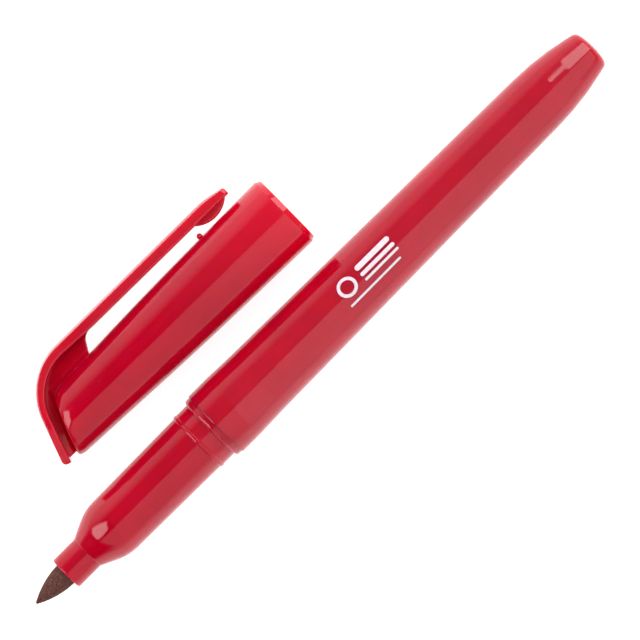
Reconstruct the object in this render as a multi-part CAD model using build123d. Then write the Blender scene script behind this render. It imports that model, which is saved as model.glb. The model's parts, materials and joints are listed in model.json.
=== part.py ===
from build123d import *

import os
from math import cos, radians, sin

# Felt tip marker with its cap off and lying beside it.
#
# Millimetres, +Z up. Both the pen and the cap lie on the plane Z = 0. The pen's axis runs along X, with the
# nib at -X and the tail at +X, and the cap lies at +Y with its clip turned away from the pen. The origin is
# the bottom centre of the whole layout's bounding box.
#
# The pen is drawn about the X axis with the barrel's front rim at x = 0. The cap is drawn about the X axis
# with its mouth at x = 0, its closed end at -X and its clip at +Y.

# Barrel
BARREL_LENGTH = 85.4
BARREL_RADIUS = 6.2
BARREL_LAND = 4.0            # length of the cylinder behind the front rim
BARREL_EASED_X = 9.5         # where the taper proper begins
BARREL_EASED_RADIUS = 6.02
BARREL_RIM_ROUND = 0.12
BARREL_LAND_ROUND = 1.0
BARREL_EASED_ROUND = 40.0
TAIL_BEND_X = 78.0           # where the taper's and the tail's lines cross
TAIL_BEND_RADIUS = 5.137
TAIL_BEND_ROUND = 49.0
TAIL_SHOULDER_X = 84.95
TAIL_SHOULDER_RADIUS = 3.5
TAIL_SHOULDER_ROUND = 1.2
TAIL_FACE_RADIUS = 1.6
TAIL_FACE_ROUND = 5.0
BORE_RADIUS = 4.3
BORE_TAPER_X = 72.0
BORE_END_X = 82.5
BORE_END_RADIUS = 2.9
BORE_END_ROUND = 0.8
BORE_TAPER_ROUND = 8.0
SOCKET_RADIUS = 4.9          # front bore that takes the front section's spigot
SOCKET_DEPTH = 13.5
STOP_RIB_COUNT = 4
STOP_RIB_THICKNESS = 0.8
STOP_RIB_X = 70.0
STOP_RIB_END_X = 81.0
STOP_RIB_INNER = 2.4
STOP_RIB_ROOT = 0.4          # how far the ribs reach into the barrel's wall

# Front section
NOSE_X = -33.84
HOLDER_RADIUS = 2.98
HOLDER_END_X = -28.96
BULB_START_RADIUS = 3.05
BULB_TOP_X = -24.6
BULB_TOP_RADIUS = 5.1
BULB_ROUND = 8.4
GRIP_END_X = -4.2
GRIP_END_RADIUS = 5.31
SNAP_RING_X = -3.84
SNAP_RING_RADIUS = 5.52
SNAP_RING_ROUND = 0.34
COLLAR_RADIUS = 5.42
FLANGE_LENGTH = 1.15
FLANGE_RADIUS = 6.0
SPIGOT_RADIUS = 4.85
SPIGOT_LENGTH = 12.4
SPIGOT_BEAD_X = 8.0
SPIGOT_BEAD_HEIGHT = 0.14
SPIGOT_BEAD_SUNK = 0.2       # depth of the bead's centre below the spigot
SPIGOT_BEAD_PLAY = 0.06
SPIGOT_LEAD = (0.5, 0.3)     # length and height of the spigot's lead-in
HOLDER_ROUND = 0.3
FLANGE_FRONT_ROUND = 0.45
FLANGE_REAR_ROUND = 0.1
NIB_HOLE_CHAMFER = 0.2
CHAMBER_ROUND = 0.5
CHAMBER_RADIUS = 4.12
CHAMBER_X = -19.8
NIB_HOLE_RADIUS = 2.02
AIR_CHANNEL_COUNT = 4
AIR_CHANNEL_WIDTH = 0.5
AIR_CHANNEL_DEPTH = 0.4

# Nib and reservoir
NIB_TIP_X = -40.56
NIB_RADIUS = 2.0
NIB_TIP_RADIUS = 0.38
NIB_TIP_LENGTH = 0.06
NIB_TIP_ROUND = 0.3
NIB_SHOULDER_X = -37.24
NIB_ROUND = 13.4
NIB_REAR_X = -16.0
FIBRE_RADIUS = 3.95
FIBRE_FRONT_X = -19.5
FILM_THICKNESS = 0.1
FILM_FRONT_X = -17.5
FILM_REAR_X = 68.5

# Print
PRINT_THICKNESS = 0.05
PRINT_X = 28.6
PRINT_RING_RADIUS = 1.75
PRINT_RING_WIDTH = 0.55
PRINT_RING_Y = 0.6
PRINT_BAR_X = 33.2
PRINT_BAR_LENGTH = 7.4
PRINT_BARS = [(1.75, 1.0), (0.35, 0.7), (-0.75, 0.45)]     # across the barrel: place, width
PRINT_RULE_LENGTH = 11.2
PRINT_RULE_Y = -2.3
PRINT_RULE_WIDTH = 0.4
PRINT_SKIN_X = (27.6, 42.6)  # stretch of the barrel's skin that the mark is cut from

# Cap
CAP_MOUTH_RADIUS = 6.605
CAP_MOUTH_TAPER = 0.015      # radius lost for each millimetre, from the mouth to the waist
CAP_WAIST_X = -24.0
CAP_WAIST_ROUND = 660.0
CAP_REAR_TAPER = 0.039       # and from the waist to the closed end
CAP_LIP_LENGTH = 0.85
CAP_LIP_RADIUS = 6.12
CAP_LIP_ROUNDS = (0.1, 0.2)
CAP_END_X = -49.5            # closed end on the axis
CAP_END_TILT = 21.8
CAP_END_ROUND = 0.6
CAP_BORE_RADIUS = 5.45
CAP_BORE_LAND = 10.0
CAP_BORE_THROAT_RADIUS = 5.2
CAP_BORE_THROAT_X = -24.0
CAP_GROOVE_X = -2.6
CAP_GROOVE_HALF_WIDTH = 0.4
CAP_GROOVE_RADIUS = 5.62
CAP_BORE_CHAMFER = 0.3
LINER_FRONT_X = -27.0
LINER_REAR_X = -46.3
LINER_RADIUS = 4.3
LINER_LIP_RADIUS = 3.05
LINER_BORE_RADIUS = 3.4
LINER_WALL_END = 1.1
LINER_END_ROUND = 0.6
LINER_MOUTH_FLARE = 0.9
LINER_LIP_START = 1.2        # behind the liner's front
LINER_LIP_END = 2.6
LINER_LIP_FOOT = 3.4

# Clip, moulded with the cap and carried round its closed end
CLIP_OUTER_Y = 10.42
CLIP_INNER_Y = 8.26
CLIP_CROWN = 0.5
CLIP_ROOT_X = -36.2
CLIP_ROOT_GAP = 0.12         # play between the fixed strip and the arm that flexes
CLIP_ROOT_HALF_WIDTH = 3.5
CLIP_NARROW_X = -16.0        # the arm widens from here to its root
CLIP_NARROW_HALF_WIDTH = 2.45
CLIP_TIP_X = -4.95
CLIP_TIP_HALF_WIDTH = 2.1
CLIP_TIP_CORNER_ROUND = 0.8
CLIP_TIP_SLOPE_X = -8.9      # the arm's outer face slopes down from here to the tip
CLIP_TIP_SLOPE_ROUND = 12.0
CLIP_TIP_DROP = 0.76
CLIP_TIP_LEAN = 0.15
CLIP_TIP_ROUNDS = (0.3, 0.15)
STRIP_TILT = 19.0
STRIP_OUTER_X = -52.84       # outer face where it crosses the cap's axis
STRIP_THICKNESS = 1.5
STRIP_BEND_OUTER = 10.5
STRIP_BEND_INNER = 8.9
STRIP_BEND_INNER_Y = 8.8
STRIP_WIDE_X = -46.0         # the strip is at its widest from here on
STRIP_HALF_WIDTH = 4.1
STRIP_END = 4.64             # length of the strip beyond the cap's axis
STRIP_END_ROUNDS = (0.8, 0.3)
WEB_HALF_THICKNESS = 0.6
WEB_ROOT = 0.75              # how far the web reaches into the strip
WEB_WINDOW_X = -37.3         # window's corner beside the strip
WEB_WINDOW_ROUND = 1.8
WEB_WINDOW_FOOT = (-39.5, 4.5)
WEB_SUNK_SIDE = (-46.0, 4.0)     # hidden corners inside the cap's wall
WEB_SUNK_END = (-50.4, -4.5)
WEB_END = 4.1                # length of the web beyond the cap's axis
FIN_HALF_THICKNESS = 0.6
FIN_START_X = -12.6
FIN_LOW = (-9.15, 6.98)
FIN_END_X = -5.75
FIN_ROOT = 0.1               # height inside the arm at which the fin's round edge ends
FIN_TOP = 0.5
BALL_RADIUS = 0.5
BALL_X = -13.1
BALL_RISE = 0.22

# Layout
CAP_MOUTH_PLACE = (32.5, 16.26)
CAP_YAW = -0.55


def closed_face(corners):
    """Face inside a closed outline. Each corner is (x, y) or (x, y, rounding radius)."""
    places = [corner[:2] for corner in corners]
    rounds = [corner[2] if len(corner) > 2 else 0 for corner in corners]
    return make_face(FilletPolyline(*places, radius=rounds, close=True))


def turned(corners):
    """Solid of revolution about the X axis. Each corner is (x, radius) or (x, radius, rounding)."""
    return revolve(closed_face(corners), axis=Axis.X)


def plate(corners, half_thickness):
    """Flat plate, centred on the XY plane."""
    return extrude(closed_face(corners), amount=half_thickness, both=True)


def spaced_around_x(shape, count):
    """Copies of a shape, evenly spaced about the X axis."""
    copies = Part()
    for turn in range(count):
        copies += Rot(360 * turn / count, 0, 0) * shape
    return copies


def bead_about_x(place_x, centre_radius, bead_radius):
    """Half-round ring about the X axis."""
    return Pos(place_x, 0, 0) * Rot(0, 90, 0) * Torus(centre_radius, bead_radius)


def barrel_outer_corners():
    """Outer outline of the barrel from its front rim to the tail's centre."""
    return [
        (0, BARREL_RADIUS, BARREL_RIM_ROUND),
        (BARREL_LAND, BARREL_RADIUS, BARREL_LAND_ROUND),
        (BARREL_EASED_X, BARREL_EASED_RADIUS, BARREL_EASED_ROUND),
        (TAIL_BEND_X, TAIL_BEND_RADIUS, TAIL_BEND_ROUND),
        (TAIL_SHOULDER_X, TAIL_SHOULDER_RADIUS, TAIL_SHOULDER_ROUND),
        (BARREL_LENGTH, TAIL_FACE_RADIUS, TAIL_FACE_ROUND),
        (BARREL_LENGTH, 0),
    ]


def barrel_taper_radius(place_x):
    """Outer radius of the barrel on its long taper."""
    slope = (TAIL_BEND_RADIUS - BARREL_EASED_RADIUS) / (TAIL_BEND_X - BARREL_EASED_X)
    return BARREL_EASED_RADIUS + slope * (place_x - BARREL_EASED_X)


def make_barrel():
    """Tapered tube, closed at the tail, with a stepped bore and stop ribs for the reservoir."""
    inner = [
        (BORE_END_X, 0),
        (BORE_END_X, BORE_END_RADIUS, BORE_END_ROUND),
        (BORE_TAPER_X, BORE_RADIUS, BORE_TAPER_ROUND),
        (SOCKET_DEPTH, BORE_RADIUS),
        (SOCKET_DEPTH, SOCKET_RADIUS),
        (0, SOCKET_RADIUS),
    ]
    barrel = turned(barrel_outer_corners() + inner)
    rib = plate(
        [
            (STOP_RIB_X, STOP_RIB_INNER),
            (STOP_RIB_X, BORE_RADIUS + STOP_RIB_ROOT),
            (BORE_TAPER_X, BORE_RADIUS + STOP_RIB_ROOT),
            (STOP_RIB_END_X, BORE_END_RADIUS + STOP_RIB_ROOT),
            (STOP_RIB_END_X, STOP_RIB_INNER),
        ],
        STOP_RIB_THICKNESS / 2,
    )
    groove_height = SPIGOT_BEAD_SUNK + SPIGOT_BEAD_HEIGHT + SPIGOT_BEAD_PLAY
    snap_groove = bead_about_x(SPIGOT_BEAD_X, SOCKET_RADIUS - SPIGOT_BEAD_SUNK, groove_height)
    return barrel + spaced_around_x(rib, STOP_RIB_COUNT) - snap_groove


def make_front_section():
    """Nib holder, bulb, grip, snap ring, collar and flange, with a spigot that plugs into the barrel."""
    outer = turned([
        (NOSE_X, 0),
        (NOSE_X, HOLDER_RADIUS, HOLDER_ROUND),
        (HOLDER_END_X, HOLDER_RADIUS),
        (HOLDER_END_X, BULB_START_RADIUS),
        (BULB_TOP_X, BULB_TOP_RADIUS, BULB_ROUND),
        (GRIP_END_X, GRIP_END_RADIUS),
        (SNAP_RING_X, COLLAR_RADIUS),
        (-FLANGE_LENGTH, COLLAR_RADIUS),
        (-FLANGE_LENGTH, FLANGE_RADIUS, FLANGE_FRONT_ROUND),
        (0, FLANGE_RADIUS, FLANGE_REAR_ROUND),
        (0, SPIGOT_RADIUS),
        (SPIGOT_LENGTH - SPIGOT_LEAD[0], SPIGOT_RADIUS),
        (SPIGOT_LENGTH, SPIGOT_RADIUS - SPIGOT_LEAD[1]),
        (SPIGOT_LENGTH, 0),
    ])
    snap_ring = bead_about_x(SNAP_RING_X, SNAP_RING_RADIUS - SNAP_RING_ROUND, SNAP_RING_ROUND)
    spigot_bead = bead_about_x(
        SPIGOT_BEAD_X, SPIGOT_RADIUS - SPIGOT_BEAD_SUNK, SPIGOT_BEAD_SUNK + SPIGOT_BEAD_HEIGHT
    )
    hollow = turned([
        (NOSE_X, 0),
        (NOSE_X, NIB_HOLE_RADIUS + NIB_HOLE_CHAMFER),
        (NOSE_X + NIB_HOLE_CHAMFER, NIB_HOLE_RADIUS),
        (CHAMBER_X, NIB_HOLE_RADIUS),
        (CHAMBER_X, CHAMBER_RADIUS, CHAMBER_ROUND),
        (SPIGOT_LENGTH, CHAMBER_RADIUS),
        (SPIGOT_LENGTH, 0),
    ])
    channel_length = CHAMBER_X - NOSE_X
    channel = Pos((NOSE_X + CHAMBER_X) / 2, NIB_HOLE_RADIUS, 0) * Box(
        channel_length, 2 * AIR_CHANNEL_DEPTH, AIR_CHANNEL_WIDTH
    )
    return outer + snap_ring + spigot_bead - hollow - spaced_around_x(channel, AIR_CHANNEL_COUNT)


def make_nib():
    """Round felt nib with an ogive point and a rear end that sits in the reservoir."""
    return turned([
        (NIB_TIP_X, 0),
        (NIB_TIP_X + NIB_TIP_LENGTH, NIB_TIP_RADIUS, NIB_TIP_ROUND),
        (NIB_SHOULDER_X, NIB_RADIUS, NIB_ROUND),
        (NIB_REAR_X, NIB_RADIUS),
        (NIB_REAR_X, 0),
    ])


def make_reservoir_fibre():
    """Ink-soaked rod, with a socket in its front for the nib's rear end."""
    return turned([
        (FIBRE_FRONT_X, NIB_RADIUS),
        (FIBRE_FRONT_X, FIBRE_RADIUS),
        (STOP_RIB_X, FIBRE_RADIUS),
        (STOP_RIB_X, 0),
        (NIB_REAR_X, 0),
        (NIB_REAR_X, NIB_RADIUS),
    ])


def make_reservoir_film():
    """Plastic sleeve round the fibre rod."""
    return turned([
        (FILM_FRONT_X, FIBRE_RADIUS),
        (FILM_FRONT_X, FIBRE_RADIUS + FILM_THICKNESS),
        (FILM_REAR_X, FIBRE_RADIUS + FILM_THICKNESS),
        (FILM_REAR_X, FIBRE_RADIUS),
    ])


def make_barrel_print():
    """Plain printed mark: a ring, three bars of falling width and a thin rule under them."""
    ring = Pos(PRINT_X + PRINT_RING_RADIUS, PRINT_RING_Y) * (
        Circle(PRINT_RING_RADIUS) - Circle(PRINT_RING_RADIUS - PRINT_RING_WIDTH)
    )
    flat_mark = ring
    for bar_y, bar_width in PRINT_BARS:
        centre_x = PRINT_BAR_X + PRINT_BAR_LENGTH / 2
        flat_mark += Pos(centre_x, bar_y) * SlotOverall(PRINT_BAR_LENGTH, bar_width)
    rule_centre_x = PRINT_X + PRINT_RULE_LENGTH / 2
    flat_mark += Pos(rule_centre_x, PRINT_RULE_Y) * SlotOverall(PRINT_RULE_LENGTH, PRINT_RULE_WIDTH)
    start_x, end_x = PRINT_SKIN_X
    skin = turned([
        (start_x, barrel_taper_radius(start_x)),
        (start_x, barrel_taper_radius(start_x) + PRINT_THICKNESS),
        (end_x, barrel_taper_radius(end_x) + PRINT_THICKNESS),
        (end_x, barrel_taper_radius(end_x)),
    ])
    return extrude(flat_mark, amount=2 * BARREL_RADIUS) & skin


def cap_radius(place_x):
    """Outer radius of the cap between its mouth and its waist."""
    return CAP_MOUTH_RADIUS + CAP_MOUTH_TAPER * place_x


def strip_face(along, depth):
    """Point on the straight strip over the closed end, along it from the axis and below its outer face."""
    tilt = radians(STRIP_TILT)
    return (
        STRIP_OUTER_X - along * sin(tilt) + depth * cos(tilt),
        -along * cos(tilt) - depth * sin(tilt),
    )


def strip_corner(place_y, depth):
    """Point on the strip's face, depth below its outer face, at a height."""
    tilt = radians(STRIP_TILT)
    return strip_face(-(place_y + depth * sin(tilt)) / cos(tilt), depth)


def plan_block(half_widths, low_y, high_y, end_round=0):
    """Block between two heights, symmetric from above. half_widths is (x, half width) pairs."""
    far_side = [(x, half) for x, half in half_widths]
    near_side = [(x, -half) for x, half in reversed(half_widths)]
    far_side[-1] += (end_round,)
    near_side[0] += (end_round,)
    outline = Rot(90, 0, 0) * closed_face(far_side + near_side)
    return extrude(Pos(0, low_y, 0) * outline, amount=high_y - low_y, dir=(0, 1, 0))


def make_strip():
    """Fixed part of the moulded clip: from the arm's root round the bend and over the closed end."""
    side = plate(
        [
            (CLIP_ROOT_X, CLIP_OUTER_Y),
            (*strip_corner(CLIP_OUTER_Y, 0), STRIP_BEND_OUTER),
            (*strip_face(STRIP_END, 0), STRIP_END_ROUNDS[0]),
            (*strip_face(STRIP_END, STRIP_THICKNESS), STRIP_END_ROUNDS[1]),
            (*strip_corner(STRIP_BEND_INNER_Y, STRIP_THICKNESS), STRIP_BEND_INNER),
            (CLIP_ROOT_X, CLIP_INNER_Y),
        ],
        STRIP_HALF_WIDTH,
    )
    widths = [
        (STRIP_OUTER_X - STRIP_END, STRIP_HALF_WIDTH),
        (STRIP_WIDE_X, STRIP_HALF_WIDTH),
        (CLIP_ROOT_X, CLIP_ROOT_HALF_WIDTH),
    ]
    return side & plan_block(widths, -CLIP_OUTER_Y, CLIP_OUTER_Y)


def make_web():
    """Thin wall on the centre plane that joins the strip to the cap and bounds the clip's window."""
    corners = [
        (CLIP_ROOT_X, CLIP_INNER_Y + WEB_ROOT),
        (CLIP_ROOT_X, CLIP_INNER_Y),
        (WEB_WINDOW_X, CLIP_INNER_Y, WEB_WINDOW_ROUND),
        WEB_WINDOW_FOOT,
        WEB_SUNK_SIDE,
        WEB_SUNK_END,
        strip_face(WEB_END, STRIP_THICKNESS - WEB_ROOT),
        (*strip_corner(CLIP_INNER_Y + WEB_ROOT, STRIP_THICKNESS - WEB_ROOT), STRIP_BEND_INNER),
    ]
    return plate(corners, WEB_HALF_THICKNESS)


def make_cap_shell():
    """Tapered cap with its slanted closed end, the strip, the web and the ball under the clip."""
    far_x = CAP_END_X + CAP_END_X / 8
    waist_radius = cap_radius(CAP_WAIST_X)
    body = turned([
        (0, 0),
        (0, CAP_LIP_RADIUS, CAP_LIP_ROUNDS[0]),
        (-CAP_LIP_LENGTH, cap_radius(-CAP_LIP_LENGTH), CAP_LIP_ROUNDS[1]),
        (CAP_WAIST_X, waist_radius, CAP_WAIST_ROUND),
        (far_x, waist_radius + CAP_REAR_TAPER * (far_x - CAP_WAIST_X)),
        (far_x, 0),
    ])
    inward = Vector(cos(radians(CAP_END_TILT)), -sin(radians(CAP_END_TILT)), 0)
    end_plane = Plane(origin=(CAP_END_X, 0, 0), z_dir=inward)
    body = split(body, bisect_by=end_plane, keep=Keep.TOP)
    end_face = body.faces().sort_by(Axis(end_plane.origin, -end_plane.z_dir))[-1]
    body = fillet(end_face.edges(), CAP_END_ROUND)
    ball = Pos(BALL_X, cap_radius(BALL_X) + BALL_RISE, 0) * Sphere(BALL_RADIUS)
    bore = turned([
        (0, 0),
        (0, CAP_BORE_RADIUS + CAP_BORE_CHAMFER),
        (-CAP_BORE_CHAMFER, CAP_BORE_RADIUS),
        (CAP_GROOVE_X + CAP_GROOVE_HALF_WIDTH, CAP_BORE_RADIUS),
        (CAP_GROOVE_X, CAP_GROOVE_RADIUS),
        (CAP_GROOVE_X - CAP_GROOVE_HALF_WIDTH, CAP_BORE_RADIUS),
        (-CAP_BORE_LAND, CAP_BORE_RADIUS),
        (CAP_BORE_THROAT_X, CAP_BORE_THROAT_RADIUS),
        (LINER_FRONT_X, LINER_RADIUS),
        (LINER_REAR_X, LINER_RADIUS),
        (LINER_REAR_X, 0),
    ])
    return body + make_strip() + make_web() + ball - bore


def make_clip_arm():
    """Free arm of the clip: crowned outside, narrow at its tip, with a grip fin on the centre plane."""
    root_x = CLIP_ROOT_X + CLIP_ROOT_GAP
    side = plate(
        [
            (root_x, CLIP_OUTER_Y),
            (CLIP_TIP_SLOPE_X, CLIP_OUTER_Y, CLIP_TIP_SLOPE_ROUND),
            (CLIP_TIP_X - CLIP_TIP_LEAN, CLIP_OUTER_Y - CLIP_TIP_DROP, CLIP_TIP_ROUNDS[0]),
            (CLIP_TIP_X, CLIP_INNER_Y, CLIP_TIP_ROUNDS[1]),
            (root_x, CLIP_INNER_Y),
        ],
        CLIP_ROOT_HALF_WIDTH,
    )
    widths = [
        (root_x, CLIP_ROOT_HALF_WIDTH),
        (CLIP_NARROW_X, CLIP_NARROW_HALF_WIDTH),
        (CLIP_TIP_X, CLIP_TIP_HALF_WIDTH),
    ]
    plan = plan_block(widths, 0, CLIP_OUTER_Y, CLIP_TIP_CORNER_ROUND)
    shoulder_y = CLIP_OUTER_Y - CLIP_CROWN
    crown_edge = ThreePointArc(
        (shoulder_y, -CLIP_ROOT_HALF_WIDTH), (CLIP_OUTER_Y, 0), (shoulder_y, CLIP_ROOT_HALF_WIDTH)
    )
    sides_edge = Polyline(
        (shoulder_y, CLIP_ROOT_HALF_WIDTH), (0, CLIP_ROOT_HALF_WIDTH),
        (0, -CLIP_ROOT_HALF_WIDTH), (shoulder_y, -CLIP_ROOT_HALF_WIDTH),
    )
    crown_block = Pos(root_x, 0, 0) * extrude(
        Plane.YZ.location * make_face(crown_edge + sides_edge), amount=CLIP_TIP_X - root_x
    )
    edge_y = CLIP_INNER_Y + FIN_ROOT
    top_y = CLIP_INNER_Y + FIN_TOP
    fin_edge = ThreePointArc((FIN_START_X, edge_y), FIN_LOW, (FIN_END_X, edge_y))
    fin_top = Polyline((FIN_END_X, edge_y), (FIN_END_X, top_y), (FIN_START_X, top_y), (FIN_START_X, edge_y))
    fin = extrude(make_face(fin_edge + fin_top), amount=FIN_HALF_THICKNESS, both=True)
    return (side & plan & crown_block) + fin


def make_inner_cap():
    """Seal cup pressed into the cap, with a lip that closes round the nib holder."""
    rear_x = LINER_REAR_X + LINER_WALL_END
    return turned([
        (LINER_FRONT_X, LINER_LIP_RADIUS + LINER_MOUTH_FLARE),
        (LINER_FRONT_X, LINER_RADIUS),
        (LINER_REAR_X, LINER_RADIUS),
        (LINER_REAR_X, 0),
        (rear_x, 0),
        (rear_x, LINER_BORE_RADIUS, LINER_END_ROUND),
        (LINER_FRONT_X - LINER_LIP_FOOT, LINER_BORE_RADIUS),
        (LINER_FRONT_X - LINER_LIP_END, LINER_LIP_RADIUS),
        (LINER_FRONT_X - LINER_LIP_START, LINER_LIP_RADIUS),
    ])


pen_pieces = {
    "barrel": make_barrel(),
    "front_section": make_front_section(),
    "nib": make_nib(),
    "reservoir_fibre": make_reservoir_fibre(),
    "reservoir_film": make_reservoir_film(),
    "barrel_print": make_barrel_print(),
}
cap_pieces = {
    "cap_shell": make_cap_shell(),
    "clip_arm": make_clip_arm(),
    "inner_cap": make_inner_cap(),
}

pen_place = Pos(0, 0, BARREL_RADIUS)
cap_place = Pos(*CAP_MOUTH_PLACE, cap_radius(-CAP_LIP_LENGTH)) * Rot(0, 0, CAP_YAW)
pieces = {name: pen_place * shape for name, shape in pen_pieces.items()}
pieces.update({name: cap_place * shape for name, shape in cap_pieces.items()})

boxes = [shape.bounding_box() for shape in pieces.values()]
middle_x = (min(box.min.X for box in boxes) + max(box.max.X for box in boxes)) / 2
middle_y = (min(box.min.Y for box in boxes) + max(box.max.Y for box in boxes)) / 2
to_origin = Pos(-middle_x, -middle_y, -min(box.min.Z for box in boxes))

os.makedirs("parts", exist_ok=True)
for name, shape in pieces.items():
    export_step(to_origin * shape, f"parts/{name}.step")
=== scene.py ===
import json
from math import acos, atan2, cos, hypot, pi, radians, sin, sqrt, tan

import bmesh
import bpy
from mathutils import Matrix, Vector, noise


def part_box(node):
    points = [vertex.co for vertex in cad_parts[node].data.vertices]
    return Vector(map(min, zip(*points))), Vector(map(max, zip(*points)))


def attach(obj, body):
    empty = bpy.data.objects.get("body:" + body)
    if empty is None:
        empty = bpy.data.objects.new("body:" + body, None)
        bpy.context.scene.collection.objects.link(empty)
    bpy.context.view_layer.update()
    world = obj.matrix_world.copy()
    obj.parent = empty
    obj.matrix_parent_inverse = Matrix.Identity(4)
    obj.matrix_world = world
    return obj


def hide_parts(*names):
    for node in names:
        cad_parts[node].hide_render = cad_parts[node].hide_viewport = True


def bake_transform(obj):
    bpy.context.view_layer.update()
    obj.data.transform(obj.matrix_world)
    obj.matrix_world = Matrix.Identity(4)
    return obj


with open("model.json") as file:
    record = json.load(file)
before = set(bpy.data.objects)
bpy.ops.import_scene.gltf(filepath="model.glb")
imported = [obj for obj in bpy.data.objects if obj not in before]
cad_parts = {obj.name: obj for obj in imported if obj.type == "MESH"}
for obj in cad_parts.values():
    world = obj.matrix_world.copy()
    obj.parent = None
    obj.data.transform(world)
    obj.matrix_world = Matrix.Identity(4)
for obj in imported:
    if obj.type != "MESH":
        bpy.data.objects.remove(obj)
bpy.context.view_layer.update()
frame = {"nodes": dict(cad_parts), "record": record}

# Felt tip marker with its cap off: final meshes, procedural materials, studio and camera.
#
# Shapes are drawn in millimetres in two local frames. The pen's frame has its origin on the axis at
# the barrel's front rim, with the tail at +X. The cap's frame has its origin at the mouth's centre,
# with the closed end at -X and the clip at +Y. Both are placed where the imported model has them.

MM = 0.001
ROUND_STEPS = 160            # facets round a turned piece
ARC_STEP = radians(4)        # turn between two points of a rounded corner
SHARP = radians(32)          # edges that turn more than this stay sharp
SUPPORT = 0.15               # distance from a corner to the extra points on the runs beside it
MERGE_DISTANCE = 1e-7        # metres


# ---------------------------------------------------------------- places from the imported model

mounts = {mount["name"]: mount for mount in frame["record"]["mounts"]}
barrel_low, barrel_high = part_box("barrel")
section_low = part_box("front_section")[0]
nib_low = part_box("nib")[0]

PEN_ORIGIN = Vector(mounts["barrel_land"]["pos_m"])
PEN_ORIGIN.x = barrel_low.x
CAP_MOUTH_TO_MOUNT = 6.5     # from the middle of the measured bore to the cap's mouth
CAP_AXIS = Vector(mounts["cap_mouth"]["axis"])
CAP_ORIGIN = Vector(mounts["cap_mouth"]["pos_m"]) + CAP_AXIS * CAP_MOUTH_TO_MOUNT * MM

pen_frame = Matrix.Translation(PEN_ORIGIN) @ Matrix.Scale(MM, 4)
cap_turn = Matrix.Rotation(atan2(CAP_AXIS.y, CAP_AXIS.x), 4, "Z")
cap_frame = Matrix.Translation(CAP_ORIGIN) @ cap_turn @ Matrix.Scale(MM, 4)

BARREL_LENGTH = (barrel_high.x - barrel_low.x) / MM
BARREL_RADIUS = (barrel_high.z - barrel_low.z) / 2 / MM
NOSE_X = (section_low.x - PEN_ORIGIN.x) / MM
NIB_TIP_X = (nib_low.x - PEN_ORIGIN.x) / MM
HOLDER_RADIUS = mounts["nib_holder"]["dims"]["r_mm"]
CAP_BORE_RADIUS = mounts["cap_mouth"]["dims"]["r_mm"]


# ---------------------------------------------------------------- outlines

def rounded(corners, closed=False, steps=None):
    """Polyline through the corners (x, y) or (x, y, radius), with each radius drawn as an arc."""
    points = []
    count = len(corners)
    for index, corner in enumerate(corners):
        here = Vector(corner[:2])
        radius = corner[2] if len(corner) > 2 else 0
        at_end = not closed and index in (0, count - 1)
        if at_end or not radius:
            points.append(here)
            continue
        before = (Vector(corners[index - 1][:2]) - here).normalized()
        after = (Vector(corners[(index + 1) % count][:2]) - here).normalized()
        between = acos(max(-1, min(1, before.dot(after))))
        reach = radius / tan(between / 2)
        centre = here + (before + after).normalized() * (radius / sin(between / 2))
        start = here + before * reach - centre
        chord = after * reach - before * reach
        side = 1 if start.x * chord.y > start.y * chord.x else -1
        turn = pi - between
        arc_steps = steps or max(2, round(turn / ARC_STEP))
        for step in range(arc_steps + 1):
            angle = side * turn * step / arc_steps
            swung_x = start.x * cos(angle) - start.y * sin(angle)
            swung_y = start.x * sin(angle) + start.y * cos(angle)
            points.append(centre + Vector((swung_x, swung_y)))
    return [(point.x, point.y) for point in points]


def spread(start, end, count):
    """Evenly spaced numbers from start to end, both included."""
    return [start + (end - start) * index / (count - 1) for index in range(count)]


def supported(outline):
    """The same polyline with points near the ends of long runs, which smooth shading then keeps straight."""
    points = [outline[0]]
    for (x1, y1), (x2, y2) in zip(outline, outline[1:]):
        run = hypot(x2 - x1, y2 - y1)
        if run > 5 * SUPPORT:
            for share in (SUPPORT / run, 1 - SUPPORT / run):
                points.append((x1 + (x2 - x1) * share, y1 + (y2 - y1) * share))
        points.append((x2, y2))
    return points


def height_of(outline, x):
    """Height of a polyline that runs to -X, at x."""
    for (x1, y1), (x2, y2) in zip(outline, outline[1:]):
        if x2 <= x <= x1:
            return y1 + (y2 - y1) * (x1 - x) / (x1 - x2)
    return outline[-1][1] if x < outline[-1][0] else outline[0][1]


def edge_arc(offset, radius):
    """How far a circle has risen from its lowest point at a sideways offset."""
    return radius - sqrt(radius ** 2 - offset ** 2)


def edge_drop(distance, radius):
    """How far a rounded edge has fallen away at a distance from the end it rounds."""
    if distance >= radius:
        return 0
    return radius - sqrt(radius ** 2 - (radius - distance) ** 2)


# ---------------------------------------------------------------- meshes

def add_piece(name, points, faces, place, material, smooth=True):
    """Mesh object from local points, moved into the row's frame, with its normals turned outwards."""
    mesh = bpy.data.meshes.new(name)
    mesh.from_pydata([place @ Vector(point) for point in points], [], faces)
    tidy_mesh(mesh)
    if smooth:
        mesh.shade_smooth()
        mesh.set_sharp_from_angle(angle=SHARP)
    piece = bpy.data.objects.new(name, mesh)
    bpy.context.scene.collection.objects.link(piece)
    piece.data.materials.append(material)
    return piece


def tidy_mesh(mesh):
    """Merges doubled points and turns every face outwards."""
    work = bmesh.new()
    work.from_mesh(mesh)
    bmesh.ops.remove_doubles(work, verts=work.verts, dist=MERGE_DISTANCE)
    bmesh.ops.dissolve_degenerate(work, edges=work.edges, dist=MERGE_DISTANCE / 10)
    bmesh.ops.recalc_face_normals(work, faces=work.faces)
    work.to_mesh(mesh)
    work.free()


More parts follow.
